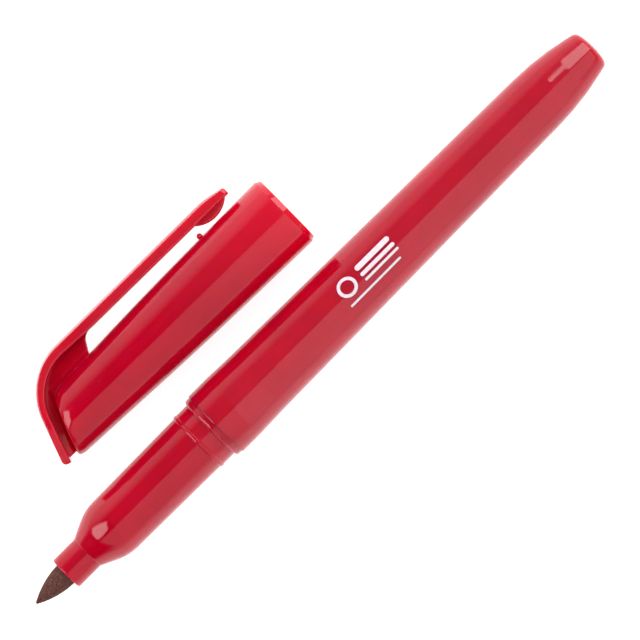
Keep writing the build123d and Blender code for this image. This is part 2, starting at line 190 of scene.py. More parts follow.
def grid_faces(rows, columns, wrap_rows=False, wrap_columns=False, first=0):
    """Quads of a grid of points stored row by row."""
    faces = []
    for row in range(rows if wrap_rows else rows - 1):
        for column in range(columns if wrap_columns else columns - 1):
            next_row = (row + 1) % rows
            next_column = (column + 1) % columns
            faces.append((
                first + row * columns + column, first + row * columns + next_column,
                first + next_row * columns + next_column, first + next_row * columns + column,
            ))
    return faces


def turned(outline, shape=None):
    """Points and faces of an outline turned about X. shape(x, radius, angle) may move a point."""
    on_axis = [abs(radius) < 1e-9 for x, radius in outline]
    closed = not (on_axis[0] and on_axis[-1])
    points = []
    for x, radius in outline:
        for step in range(ROUND_STEPS):
            angle = 2 * pi * step / ROUND_STEPS
            at_x, at_radius = shape(x, radius, angle) if shape else (x, radius)
            points.append((at_x, at_radius * cos(angle), at_radius * sin(angle)))
    return points, grid_faces(len(outline), ROUND_STEPS, wrap_rows=closed, wrap_columns=True)


def joined(*parts):
    """Points and faces of several meshes as one."""
    points, faces = [], []
    for part_points, part_faces in parts:
        shift = len(points)
        points += part_points
        faces += [tuple(index + shift for index in face) for face in part_faces]
    return points, faces


def united(piece, *others):
    """Joins solids into one skin with an exact boolean and removes the others."""
    for other in others:
        change = piece.modifiers.new("union", "BOOLEAN")
        change.operation = "UNION"
        change.solver = "EXACT"
        change.object = other
    bpy.context.view_layer.update()
    solid = piece.evaluated_get(bpy.context.evaluated_depsgraph_get())
    mesh = bpy.data.meshes.new_from_object(solid)
    piece.modifiers.clear()
    piece.data = mesh
    for other in others:
        bpy.data.objects.remove(other)
    tidy_mesh(mesh)
    mesh.shade_smooth()
    mesh.set_sharp_from_angle(angle=SHARP)
    return piece


# ---------------------------------------------------------------- shader helpers

class Shader:
    """Node material built with short calls. Texture places are in millimetres."""

    def __init__(self, name):
        self.material = bpy.data.materials.new(name)
        self.material.use_nodes = True
        self.nodes = self.material.node_tree.nodes
        self.links = self.material.node_tree.links
        self.surface = self.nodes["Principled BSDF"]
        metres = self.nodes.new("ShaderNodeTexCoord").outputs["Object"]
        self.place = self.stretched((1 / MM, 1 / MM, 1 / MM), metres)

    def add(self, kind, inputs=None, **settings):
        """New node. Inputs are values or other nodes' outputs."""
        node = self.nodes.new(kind)
        for name, value in settings.items():
            setattr(node, name, value)
        for name, value in (inputs or {}).items():
            if isinstance(value, bpy.types.NodeSocket):
                self.links.new(value, node.inputs[name])
            else:
                node.inputs[name].default_value = value
        return node

    def stretched(self, scale, place=None):
        """Texture place, scaled along each axis."""
        place = place or self.place
        return self.add("ShaderNodeVectorMath", {0: place, 1: scale}, operation="MULTIPLY").outputs[0]

    def shifted(self, shift):
        """Texture place, moved along each axis."""
        return self.add("ShaderNodeVectorMath", {0: self.place, 1: shift}, operation="ADD").outputs[0]

    def noise(self, scale, detail=3.0, roughness=0.55, place=None):
        """Value of fractal noise, with scale in cells for each millimetre."""
        return self.add("ShaderNodeTexNoise", {
            "Vector": place or self.place, "Scale": scale, "Detail": detail, "Roughness": roughness,
        }).outputs[0]

    def remap(self, value, low, high, to_low, to_high):
        """Smooth ramp of a value from one range to another."""
        return self.add("ShaderNodeMapRange", {
            "Value": value, "From Min": low, "From Max": high, "To Min": to_low, "To Max": to_high,
        }, interpolation_type="SMOOTHSTEP").outputs[0]

    def math(self, operation, first, second):
        return self.add("ShaderNodeMath", {0: first, 1: second}, operation=operation).outputs[0]

    def mix(self, share, first, second):
        """Colour between two colours."""
        node = self.add("ShaderNodeMix", data_type="RGBA")
        for name, value in (("Factor", share), ("A", first), ("B", second)):
            socket = next(s for s in node.inputs if s.name == name and s.enabled)
            if isinstance(value, bpy.types.NodeSocket):
                self.links.new(value, socket)
            else:
                socket.default_value = value
        return next(s for s in node.outputs if s.enabled)

    def bump(self, height, distance, strength=1.0, below=None):
        """Bump of a height field, with the distance in metres."""
        inputs = {"Height": height, "Distance": distance, "Strength": strength}
        if below:
            inputs["Normal"] = below
        return self.add("ShaderNodeBump", inputs).outputs[0]

    def finish(self, **inputs):
        """Sets the Principled shader's sockets, by value or by link."""
        for name, value in inputs.items():
            socket = self.surface.inputs[name.replace("_", " ").title().replace("Ior", "IOR")]
            if isinstance(value, bpy.types.NodeSocket):
                self.links.new(value, socket)
            else:
                socket.default_value = value
        return self.material


def tint(colour, share):
    """A colour made lighter or darker by a share, with full opacity."""
    return tuple(min(1, channel * share) for channel in colour) + (1,)


# ---------------------------------------------------------------- materials

RED = (0.535, 0.001, 0.022)
# Paler red for sharp edges: partly edge wear, partly a painted highlight along the edges.
WORN_AND_HIGHLIGHT_RED = (0.62, 0.05, 0.085, 1)
POLISH = (0.075, 0.125)      # roughness of the glossiest and of the dullest spots
WORN_AND_HIGHLIGHT_POINTINESS = (0.53, 0.62)
SCATTER_DEPTH = 0.004        # metres that red light wanders under the surface
PLASTIC_IOR = 1.5


def moulded_plastic(name, colour, seed, lit_end=None):
    """Polished moulding: faint colour flow, lengthwise rub marks, fine dust pits, and paler edges that are
    partly wear and partly a painted edge highlight.

    lit_end is (x of the open end, length, strength): light leaking into a thin wall makes it paler there.
    """
    shader = Shader(name)
    apart = shader.shifted((seed * 37.0, seed * 11.0, seed * 5.0))
    flow = shader.noise(0.16, 3.0, 0.5, apart)
    streaks = shader.noise(1.0, 2.0, 0.6, shader.stretched((0.06, 1.6, 1.6), apart))
    base = shader.mix(shader.remap(flow, 0.3, 0.7, 0, 1), tint(colour, 0.95), tint(colour, 1.05))
    if lit_end:
        along = shader.add("ShaderNodeSeparateXYZ", {0: shader.place}).outputs[0]
        end_x, length, strength = lit_end
        glow = shader.math("POWER", shader.remap(along, end_x - length, end_x, 0, 1), 1.6)
        base = shader.mix(shader.math("MULTIPLY", glow, strength), base, tint(colour, 1.5))
    # Sharp edges are painted paler and made rougher: the paler colour is partly wear and partly a painted
    # highlight that stands in for the bright lines lamps leave on edges.
    edges = shader.add("ShaderNodeNewGeometry").outputs["Pointiness"]
    wear_and_highlight = shader.remap(edges, *WORN_AND_HIGHLIGHT_POINTINESS, 0, 0.3)
    base = shader.mix(wear_and_highlight, base, WORN_AND_HIGHLIGHT_RED)
    mottle = shader.noise(0.9, 4.0, 0.6, apart)
    rubbed = shader.math("ADD", shader.math("MULTIPLY", mottle, 0.6), shader.math("MULTIPLY", streaks, 0.4))
    gloss = shader.remap(rubbed, 0.35, 0.7, *POLISH)
    gloss = shader.math("ADD", gloss, shader.math("MULTIPLY", wear_and_highlight, 0.2))
    pits = shader.add("ShaderNodeTexVoronoi", {"Vector": apart, "Scale": 0.55}).outputs["Distance"]
    dust = shader.remap(pits, 0.035, 0.06, 1, 0)
    ripple = shader.bump(shader.noise(0.22, 2.0, 0.5, apart), 0.000012, 0.6)
    scratches = shader.bump(streaks, 0.000004, 0.35, ripple)
    skin = shader.bump(dust, 0.00001, 0.5, scratches)
    return shader.finish(
        base_color=base, roughness=gloss, normal=skin, ior=PLASTIC_IOR,
        subsurface_weight=0.8, subsurface_radius=(1.0, 0.06, 0.06), subsurface_scale=SCATTER_DEPTH,
    )


def felt(name, colour, seed, along_scale=0.35):
    """Bonded fibre soaked with ink: lengthwise fibres, specks of paler fibre and a dull, soft surface."""
    shader = Shader(name)
    apart = shader.shifted((seed * 3.0, 0, 0))
    fibres = shader.noise(5.0, 4.0, 0.65, shader.stretched((along_scale, 1, 1), apart))
    specks = shader.noise(7.0, 2.0, 0.7, apart)
    soak = shader.noise(0.7, 2.0, 0.5, apart)
    base = shader.mix(shader.remap(fibres, 0.35, 0.68, 0, 1), tint(colour, 0.55), tint(colour, 1.5))
    base = shader.mix(shader.remap(soak, 0.3, 0.7, 0, 0.45), base, tint(colour, 0.7))
    base = shader.mix(shader.remap(specks, 0.62, 0.78, 0, 0.7), base, tint(colour, 2.6))
    skin = shader.bump(fibres, 0.00006, 0.8, shader.bump(specks, 0.00003, 0.7))
    dull = shader.remap(fibres, 0.3, 0.7, 0.92, 0.7)
    return shader.finish(base_color=base, roughness=dull, normal=skin, ior=1.4)


def printed_ink():
    """Thin pad-printed ink: uneven cover with pinholes, over the red beneath."""
    shader = Shader("printed_ink")
    cover = shader.noise(2.2, 4.0, 0.6)
    pinholes = shader.remap(shader.noise(9.0, 2.0, 0.5), 0.69, 0.76, 0, 0.6)
    base = shader.mix(shader.remap(cover, 0.3, 0.7, 0, 1), (0.86, 0.70, 0.78, 1), (0.94, 0.83, 0.89, 1))
    base = shader.mix(pinholes, base, (0.70, 0.25, 0.32, 1))
    gloss = shader.remap(cover, 0.3, 0.7, 0.32, 0.5)
    skin = shader.bump(cover, 0.000008, 0.5)
    return shader.finish(base_color=base, roughness=gloss, normal=skin, ior=1.48)


def natural_polyethylene():
    """Milky, waxy plastic of the seal cup."""
    shader = Shader("natural_polyethylene")
    haze = shader.noise(0.5, 3.0, 0.5)
    base = shader.mix(shader.remap(haze, 0.3, 0.7, 0, 1), (0.80, 0.77, 0.72, 1), (0.88, 0.86, 0.82, 1))
    stain = shader.remap(shader.noise(0.35, 2.0, 0.6), 0.55, 0.75, 0, 0.5)
    base = shader.mix(stain, base, (0.62, 0.18, 0.2, 1))
    gloss = shader.remap(haze, 0.3, 0.7, 0.38, 0.52)
    skin = shader.bump(haze, 0.00001, 0.4)
    return shader.finish(base_color=base, roughness=gloss, normal=skin, ior=1.51)


def clear_film():
    """Thin wrapping film with fine wrinkles."""
    shader = Shader("clear_film")
    wrinkles = shader.noise(1.4, 3.0, 0.6, shader.stretched((0.15, 1, 1)))
    base = shader.mix(shader.remap(wrinkles, 0.3, 0.7, 0, 1), (0.55, 0.10, 0.12, 1), (0.75, 0.45, 0.46, 1))
    gloss = shader.remap(wrinkles, 0.3, 0.7, 0.15, 0.3)
    skin = shader.bump(wrinkles, 0.00003, 0.5)
    return shader.finish(base_color=base, roughness=gloss, normal=skin, ior=1.49)


barrel_red = moulded_plastic("barrel_plastic", RED, 1)
section_red = moulded_plastic("section_plastic", RED, 2)
cap_red = moulded_plastic("cap_plastic", RED, 3, (CAP_ORIGIN.x / MM, 26.0, 0.35))
nib_felt = felt("nib_felt", (0.115, 0.035, 0.025), 4)


# ---------------------------------------------------------------- barrel

RIM_BEVEL = 0.04
RIM_BEVEL_LENGTH = 0.12
LAND_LENGTH = 4.0            # parallel stretch behind the rim
TAPER_X = 9.5
TAPER_RADIUS = 6.02
TAPER_ROUND = 40.0
TAIL_BEND = (78.0, 5.137)
TAIL_BEND_ROUND = 49.0
TAIL_EDGE = (84.95, 3.5, 1.2)    # x, radius and rounding
TAIL_FLAT = 1.6
TAIL_CROWN = 5.0
SOCKET_DEPTH = 13.5
SOCKET_RADIUS = 4.9
BORE_RADIUS = 4.3
BORE_NARROWS_X = 72.0
BORE_END = (82.5, 2.9)
GROOVE_X = 8.0
GROOVE_HALF_WIDTH = 0.4
GROOVE_DEPTH = 0.2


def taper_radius(x):
    """Outer radius of the barrel on its long taper."""
    return TAPER_RADIUS + (TAIL_BEND[1] - TAPER_RADIUS) * (x - TAPER_X) / (TAIL_BEND[0] - TAPER_X)


def make_barrel():
    """Tapered tube with a rounded tail, its bore, and a bead groove for the front section."""
    outside = rounded([
        (0, SOCKET_RADIUS), (0, BARREL_RADIUS - RIM_BEVEL, 0.03), (RIM_BEVEL_LENGTH, BARREL_RADIUS, 0.06),
        (LAND_LENGTH, BARREL_RADIUS, 1.0), (TAPER_X, TAPER_RADIUS, TAPER_ROUND),
        (*TAIL_BEND, TAIL_BEND_ROUND), TAIL_EDGE, (BARREL_LENGTH, TAIL_FLAT, TAIL_CROWN), (BARREL_LENGTH, 0),
    ])
    inside = rounded([
        (BORE_END[0], 0), (*BORE_END, 0.8), (BORE_NARROWS_X, BORE_RADIUS, 8.0), (SOCKET_DEPTH, BORE_RADIUS),
        (SOCKET_DEPTH, SOCKET_RADIUS), (GROOVE_X + GROOVE_HALF_WIDTH, SOCKET_RADIUS),
        (GROOVE_X, SOCKET_RADIUS + GROOVE_DEPTH), (GROOVE_X - GROOVE_HALF_WIDTH, SOCKET_RADIUS),
        (0, SOCKET_RADIUS),
    ])
    skins = joined(open_skin(supported(outside)), open_skin(supported(inside)))
    return add_piece("barrel_body", *skins, pen_frame, barrel_red)


def open_skin(outline):
    """Turned skin of an outline that isn't joined end to end."""
    points = turned(outline)[0]
    return points, grid_faces(len(outline), ROUND_STEPS, wrap_columns=True)


barrel = make_barrel()
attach(barrel, "pen")
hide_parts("barrel")


# ---------------------------------------------------------------- front section

NIB_HOLE_RADIUS = 2.02
NIB_HOLE_BEVEL = 0.2
HOLDER_END_X = -28.9
HOLDER_STEP = 0.07
# Outlines below are points (x, radius), or (x, radius, rounding).
BULB = (-24.6, 5.1, 8.4)
SNAP_RING = [(-4.2, 5.31, 0.1), (-4.1, 5.46, 0.05), (-3.94, 5.515, 0.06), (-3.6, 5.52, 0.08), (-3.5, 5.42)]
FLANGE = [(-1.16, 5.42, 0.06), (-1.1, 5.72, 0.06), (-0.92, 5.91, 0.08), (-0.72, 5.98, 0.08), (0, 6.0)]
CHANNEL_DEPTH = 0.4
CHANNEL_HALF_WIDTH = 0.25
CHAMBER_X = -19.8
CHAMBER_RADIUS = 4.12
SPIGOT_LENGTH = 12.4
SPIGOT_RADIUS = 4.85
SPIGOT_LEAD = (0.5, 0.3)     # length and depth of the bevel at its end
SNAP_BEAD_HALF_WIDTH = 0.3
SNAP_BEAD_HEIGHT = 0.14


def make_front_section():
    """Nib holder, bulb, grip, snap ring, collar and flange, hollow for the nib and the reservoir."""
    nose = [
        (CHAMBER_X, NIB_HOLE_RADIUS), (NOSE_X + NIB_HOLE_BEVEL, NIB_HOLE_RADIUS),
        (NOSE_X, NIB_HOLE_RADIUS + NIB_HOLE_BEVEL), (NOSE_X, HOLDER_RADIUS, 0.3),
        (HOLDER_END_X - 0.06, HOLDER_RADIUS), (HOLDER_END_X, HOLDER_RADIUS + HOLDER_STEP),
    ]
    spigot = [
        (0, SPIGOT_RADIUS), (GROOVE_X - SNAP_BEAD_HALF_WIDTH, SPIGOT_RADIUS),
        (GROOVE_X, SPIGOT_RADIUS + SNAP_BEAD_HEIGHT), (GROOVE_X + SNAP_BEAD_HALF_WIDTH, SPIGOT_RADIUS),
        (SPIGOT_LENGTH - SPIGOT_LEAD[0], SPIGOT_RADIUS), (SPIGOT_LENGTH, SPIGOT_RADIUS - SPIGOT_LEAD[1]),
        (SPIGOT_LENGTH, CHAMBER_RADIUS), (CHAMBER_X, CHAMBER_RADIUS, 0.5),
    ]
    outline = rounded([*nose, BULB, *SNAP_RING, *FLANGE, *spigot], closed=True)

    def with_channels(x, radius, angle):
        off_centre = radius * abs(sin(2 * angle)) / 2
        in_hole = radius < NIB_HOLE_RADIUS + NIB_HOLE_BEVEL + 0.01 and x < CHAMBER_X + 0.01
        if in_hole and off_centre < CHANNEL_HALF_WIDTH:
            return x, NIB_HOLE_RADIUS + CHANNEL_DEPTH
        return x, radius

    return add_piece("front_body", *turned(supported(outline), with_channels), pen_frame, section_red)


front = make_front_section()
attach(front, "pen")
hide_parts("front_section")


# ---------------------------------------------------------------- nib

NIB_RADIUS = 2.0
NIB_SHOULDER_X = -33.5       # from here to its tip the nib is one arc
NIB_ROUND = 14.4
NIB_END_X = -16.0
FUZZ = 0.012
FUZZ_CELLS = (2.2, 5.0)      # cells for each millimetre along and across


def make_nib():
    """Bullet nib, with its surface roughened by the ends of its fibres."""
    bullet = [
        (x, NIB_RADIUS - edge_arc(NIB_SHOULDER_X - x, NIB_ROUND))
        for x in spread(NIB_TIP_X + 0.03, NIB_SHOULDER_X, 60)
    ]
    outline = [(NIB_TIP_X, 0)] + bullet + [(NIB_END_X, NIB_RADIUS), (NIB_END_X, 0)]

    def fuzzy(x, radius, angle):
        if radius < 0.05 or x > NOSE_X:
            return x, radius
        along, across = FUZZ_CELLS
        place = Vector((x * along, radius * cos(angle) * across, radius * sin(angle) * across))
        return x, radius - FUZZ + FUZZ * noise.fractal(place, 0.8, 2.0, 3)

    return add_piece("nib_felt_body", *turned(outline, fuzzy), pen_frame, nib_felt)


nib = make_nib()
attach(nib, "pen")
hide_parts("nib")


# ---------------------------------------------------------------- printed mark

INK_THICKNESS = 0.045
INK_SUNK = 0.03
MARK_X = 28.6
RING_RADIUS = 1.75
RING_WIDTH = 0.55
RING_Y = 0.6
RING_STEPS = 72
BAR_X = 33.2
BAR_LENGTH = 7.4
BARS = [(1.75, 1.0), (0.35, 0.7), (-0.75, 0.45)]     # across the barrel: place, width
RULE_LENGTH = 11.2
RULE_Y = -2.3
RULE_WIDTH = 0.4


def wrapped(x, y, rise):
    """Point on the barrel's taper under a flat place, raised a little."""
    radius = taper_radius(x) + rise
    return x, radius * sin(y / BARREL_RADIUS), radius * cos(y / BARREL_RADIUS)


def ink_patch(flat_rows, wrap_rows=False):
    """Thin closed patch of ink from rows of flat points."""
    rows, columns = len(flat_rows), len(flat_rows[0])
    top = [wrapped(x, y, INK_THICKNESS) for row in flat_rows for x, y in row]
    bottom = [wrapped(x, y, -INK_SUNK) for row in flat_rows for x, y in row]
    under = rows * columns
    faces = grid_faces(rows, columns, wrap_rows=wrap_rows)
    faces += grid_faces(rows, columns, wrap_rows=wrap_rows, first=under)
    for row in range(rows if wrap_rows else rows - 1):
        after = (row + 1) % rows
        for column in (0, columns - 1):
            a, b = row * columns + column, after * columns + column
            faces.append((a, b, b + under, a + under))
    if not wrap_rows:
        for row in (0, rows - 1):
            for column in range(columns - 1):
                a = row * columns + column
                faces.append((a, a + 1, a + 1 + under, a + under))
    return top + bottom, faces


def ink_bar(start_x, length, middle_y, width):
    """Bar with round ends."""
    half = width / 2
    ends = [half * (1 - cos(angle)) for angle in spread(0.12, pi / 2, 9)]
    stations = [start_x + reach for reach in ends]
    stations += [start_x + length - reach for reach in reversed(ends)]
    rows = []
    for x in stations:
        from_end = min(x - start_x, start_x + length - x)
        reach = sqrt(max(0, half ** 2 - max(0, half - from_end) ** 2))
        rows.append([(x, middle_y + reach * share) for share in spread(-1, 1, 7)])
    return ink_patch(rows)


def ink_ring(middle_x, middle_y):
    """Plain ring."""
    rows = []
    for step in range(RING_STEPS):
        angle = 2 * pi * step / RING_STEPS
        rows.append([
            (middle_x + radius * cos(angle), middle_y + radius * sin(angle))
            for radius in spread(RING_RADIUS - RING_WIDTH, RING_RADIUS, 4)
        ])
    return ink_patch(rows, wrap_rows=True)


mark_parts = [ink_ring(MARK_X + RING_RADIUS, RING_Y), ink_bar(MARK_X, RULE_LENGTH, RULE_Y, RULE_WIDTH)]
mark_parts += [ink_bar(BAR_X, BAR_LENGTH, bar_y, bar_width) for bar_y, bar_width in BARS]
mark = add_piece("printed_mark", *joined(*mark_parts), pen_frame, printed_ink())
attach(mark, "pen")
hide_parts("barrel_print")


# ---------------------------------------------------------------- cap body

CAP_RADIUS = 6.605           # at the mouth, before its bevel
CAP_WAIST = (-24.0, 6.245)   # where the gentle taper turns into the steeper one
CAP_WAIST_ROUND = 667.0
CAP_TAPER = 0.039            # from the waist to the closed end
CAP_BEYOND_X = -60.0
LIP_LENGTH = 0.85
LIP_RADIUS = 6.12
END_X = -49.5                # closed end, where its plane crosses the axis
END_TILT = radians(21.8)
END_LEAN = tan(END_TILT)
END_FLANK = 1.05             # length of the rounded flank before the end's edge
END_FLANK_SLOPE = tan(radians(22))
END_FLANK_ROUND = 3.0
END_EDGE_ROUND = (0.22, 0.3)     # edge rounding, and what it gains on the side away from the clip
END_DEPTH = 2.2
END_START = 7.0
BORE_MOUTH_BEVEL = 0.3
LINER_RADIUS = 4.3
CAP_BORE = [
    (0, CAP_BORE_RADIUS + BORE_MOUTH_BEVEL), (-BORE_MOUTH_BEVEL, CAP_BORE_RADIUS), (-2.2, CAP_BORE_RADIUS),
    (-2.6, CAP_BORE_RADIUS + 0.17), (-3.0, CAP_BORE_RADIUS), (-10.0, CAP_BORE_RADIUS), (-24.0, 5.2),
    (-27.0, LINER_RADIUS), (-46.3, LINER_RADIUS), (-46.3, 0),
]


def waist_outline():
    """Side of the cap from the mouth to beyond the closed end, slightly barrel-shaped."""
    beyond = (CAP_BEYOND_X, CAP_WAIST[1] + CAP_TAPER * (CAP_BEYOND_X - CAP_WAIST[0]))
    return rounded([(0, CAP_RADIUS), (*CAP_WAIST, CAP_WAIST_ROUND), beyond], steps=12)


CAP_SIDE = waist_outline()


def cap_radius(x):
    """Outer radius of the cap, x behind its mouth."""
    return height_of(CAP_SIDE, x)


def cap_end_x(angle):
    """Where the straight side of the cap would meet the plane of the closed end."""
    lean = cos(angle) * END_LEAN
    end_radius = CAP_WAIST[1] + CAP_TAPER * (END_X - CAP_WAIST[0])
    return END_X + end_radius * lean / (1 - CAP_TAPER * lean)


def end_section(angle):
    """Section of the closed end's edge: (distance back from the plane, depth below the side)."""
    lean = cos(angle) * END_LEAN
    edge_round = END_EDGE_ROUND[0] + END_EDGE_ROUND[1] * max(0, -cos(angle))
    depth = END_FLANK * END_FLANK_SLOPE / (1 - END_FLANK_SLOPE * lean)
    corners = [
        (END_START, 0), (END_FLANK, 0, END_FLANK_ROUND), (-depth * lean, depth, edge_round),
        (-END_DEPTH * lean, END_DEPTH),
    ]
    return rounded(corners, steps=7)


def make_cap_body():
    """Tapered cap with a bevelled mouth, a slanted closed end and its stepped bore."""
    mouth = rounded([
        CAP_BORE[0], (0, LIP_RADIUS, 0.08), (-LIP_LENGTH, cap_radius(-LIP_LENGTH), 0.15),
        (-2.0, cap_radius(-2.0)),
    ])
    side = [(x, cap_radius(x)) for x in spread(-3.0, -40.0, 26)]
    points = []
    for x, radius in mouth + side:
        for step in range(ROUND_STEPS):
            angle = 2 * pi * step / ROUND_STEPS
            points.append((x, radius * cos(angle), radius * sin(angle)))
    sections = [end_section(2 * pi * step / ROUND_STEPS) for step in range(ROUND_STEPS)]
    for row in range(len(sections[0])):
        for step in range(ROUND_STEPS):
            angle = 2 * pi * step / ROUND_STEPS
            back, depth = sections[step][row]
            x = cap_end_x(angle) + back
            radius = cap_radius(x) - depth
            points.append((x, radius * cos(angle), radius * sin(angle)))
    rows = len(mouth) + len(side) + len(sections[0])
    middle = len(points)
    points.append((END_X, 0, 0))
    last = (rows - 1) * ROUND_STEPS
    faces = grid_faces(rows, ROUND_STEPS, wrap_columns=True)
    faces += [(last + step, last + (step + 1) % ROUND_STEPS, middle) for step in range(ROUND_STEPS)]
    return add_piece("cap_body", *joined((points, faces), open_skin(CAP_BORE)), cap_frame, cap_red)


# ---------------------------------------------------------------- clip strip

STRIP_TILT = radians(19.0)
STRIP_OUTER_X = -52.84       # outer face where it crosses the cap's axis
STRIP_THICKNESS = 1.5
STRIP_END = 4.64             # length of the strip beyond the axis
BEND_OUTER_ROUND = 10.5
BEND_INNER_ROUND = 8.9
BEND_INNER_Y = 8.8
CLIP_OUTER_Y = 10.42
CLIP_INNER_Y = 8.26
CLIP_TIP_X = -4.95
CLIP_TIP_DROP = 0.76
CLIP_TIP_BEND_X = -8.9
CLIP_TIP_BEND_ROUND = 12.0
CLIP_ROOT_X = -36.14
CLIP_TIP_HALF_WIDTH = 2.1
CLIP_NARROW_HALF_WIDTH = 2.45    # the arm stays about this narrow up to here
CLIP_NARROW_X = -16
CLIP_ROOT_HALF_WIDTH = 3.55
STRIP_HALF_WIDTH = 4.1
CLIP_CROWN = 0.5
CLIP_EDGE_ROUNDS = (0.25, 0.3)   # along the outer and the inner face
ARM_STATIONS = 40
BEND_STATIONS = 22


def strip_face(along, depth):
    """Point of the straight strip over the closed end, along it from the axis and below its outer face."""
    return (
        STRIP_OUTER_X - along * sin(STRIP_TILT) + depth * cos(STRIP_TILT),
        -along * cos(STRIP_TILT) - depth * sin(STRIP_TILT),
    )


def strip_corner(y, depth):
    """Where the strip's face, depth below its outer face, reaches height y."""
    return strip_face(-(y + depth * sin(STRIP_TILT)) / cos(STRIP_TILT), depth)


def clip_half_width(x):
    """Half width of the arm: narrow towards its tip, wide at its root and round the bend."""
    if x > CLIP_NARROW_X:
        return CLIP_TIP_HALF_WIDTH + (CLIP_NARROW_HALF_WIDTH - CLIP_TIP_HALF_WIDTH) * (CLIP_TIP_X - x) / 11
    share = min(1, (CLIP_NARROW_X - x) / (CLIP_NARROW_X - CLIP_ROOT_X))
    share = share * share * (3 - 2 * share)
    return CLIP_NARROW_HALF_WIDTH + (CLIP_ROOT_HALF_WIDTH - CLIP_NARROW_HALF_WIDTH) * share


def strip_stations():
    """Pairs of outer and inner points with half width and crown, from the arm's tip to the strip's end."""
    bend_outer = rounded([
        (CLIP_ROOT_X, CLIP_OUTER_Y), (*strip_corner(CLIP_OUTER_Y, 0), BEND_OUTER_ROUND),
        strip_face(STRIP_END, 0),
    ], steps=BEND_STATIONS)[1:-1]
    bend_inner = rounded([
        (CLIP_ROOT_X, CLIP_INNER_Y), (*strip_corner(BEND_INNER_Y, STRIP_THICKNESS), BEND_INNER_ROUND),
        strip_face(STRIP_END, STRIP_THICKNESS),
    ], steps=BEND_STATIONS)[1:-1]
    arm_outer = rounded([
        (CLIP_TIP_X, CLIP_OUTER_Y - CLIP_TIP_DROP), (CLIP_TIP_BEND_X, CLIP_OUTER_Y, CLIP_TIP_BEND_ROUND),
        bend_outer[0],
    ], steps=14)
    stations = []
    reach = CLIP_TIP_X - bend_outer[0][0]
    root_share = 0.82
    near_tip = [0.0, 0.05, 0.12, 0.22, 0.35, 0.5, 0.7, 0.95, 1.3]
    for gone in near_tip + spread(1.8, reach, ARM_STATIONS)[:-1]:
        x = CLIP_TIP_X - gone
        share = gone / reach
        rise = max(0, share - root_share) / (1 - root_share)
        inner_x = x - (bend_outer[0][0] - bend_inner[0][0]) * share
        inner_y = CLIP_INNER_Y + (bend_inner[0][1] - CLIP_INNER_Y) * rise
        half = clip_half_width(x) - edge_drop(gone, 0.75) * 0.8
        outer_y = height_of(arm_outer, x) - edge_drop(gone, 0.3)
        inner_y += edge_drop(gone, 0.2)
        stations.append(((x, outer_y), (inner_x, inner_y), half, CLIP_CROWN * min(1, 0.55 + gone / 8)))
    for index, (outer, inner) in enumerate(zip(bend_outer, bend_inner)):
        share = index / BEND_STATIONS
        half = clip_half_width(bend_outer[0][0])
        half += (STRIP_HALF_WIDTH - half) * share
        stations.append((outer, inner, half, CLIP_CROWN * (1 - 0.3 * share)))
    start = -bend_outer[-1][1] / cos(STRIP_TILT)
    inner_start = -(bend_inner[-1][1] + STRIP_THICKNESS * sin(STRIP_TILT)) / cos(STRIP_TILT)
    left_over = spread(STRIP_END - start, 1.0, 14)[1:] + [0.8, 0.62, 0.46, 0.32, 0.2, 0.1, 0.03, 0.0]
    for left in left_over:
        share = 1 - left / (STRIP_END - start)
        inner_along = inner_start + (STRIP_END - inner_start) * share
        outer = strip_face(STRIP_END - left, edge_drop(left, 0.8) * 0.85)
        inner = strip_face(inner_along, STRIP_THICKNESS - edge_drop(left, 0.3))
        half = STRIP_HALF_WIDTH - 1.1 * share ** 2 - edge_drop(left, 0.9)
        stations.append((outer, inner, half, CLIP_CROWN * (0.7 - 0.4 * share)))
    return stations


def strip_ring(outer, inner, half, crown):
    """Closed section of the strip: crowned outer face, flat sides, small rounded edges."""
    outer, inner = Vector(outer), Vector(inner)
    thickness = (inner - outer).length
    inward = (inner - outer).normalized()
    outer_round = min(CLIP_EDGE_ROUNDS[0], half * 0.4, thickness * 0.3)
    inner_round = min(CLIP_EDGE_ROUNDS[1], half * 0.4, thickness * 0.22)
    shoulder = half - outer_round
    profile = [(crown * (z / half) ** 2, z) for z in spread(0, shoulder, 8)]
    shoulder_depth = profile[-1][0]
    for angle in spread(0.25, pi / 2, 5):
        turned_in = shoulder_depth + outer_round * (1 - cos(angle))
        profile.append((turned_in, shoulder + outer_round * sin(angle)))
    side_depths = spread(shoulder_depth + outer_round, thickness - inner_round, 5)
    profile += [(depth, half) for depth in side_depths[1:]]
    for angle in spread(0.3, pi / 2, 4):
        profile.append((thickness - inner_round * (1 - sin(angle)), half - inner_round * (1 - cos(angle))))
    profile += [(thickness, z) for z in spread(half - inner_round, 0, 5)[1:]]
    mirrored = [(depth, -z) for depth, z in reversed(profile[1:-1])]
    ring = []
    for depth, z in profile + mirrored:
        at = outer + inward * depth
        ring.append((at.x, at.y, z))
    return ring


def make_clip():
    """One moulded strip: the free arm, the bend and the stretch over the closed end."""
    rings = [strip_ring(*station) for station in strip_stations()]
    size = len(rings[0])
    points = [point for ring in rings for point in ring]
    faces = grid_faces(len(rings), size, wrap_columns=True)
    faces.append(tuple(range(size)))
    last = (len(rings) - 1) * size
    faces.append(tuple(range(last, last + size)))
    return add_piece("clip_strip", points, faces, cap_frame, cap_red)


# ---------------------------------------------------------------- web between strip and cap

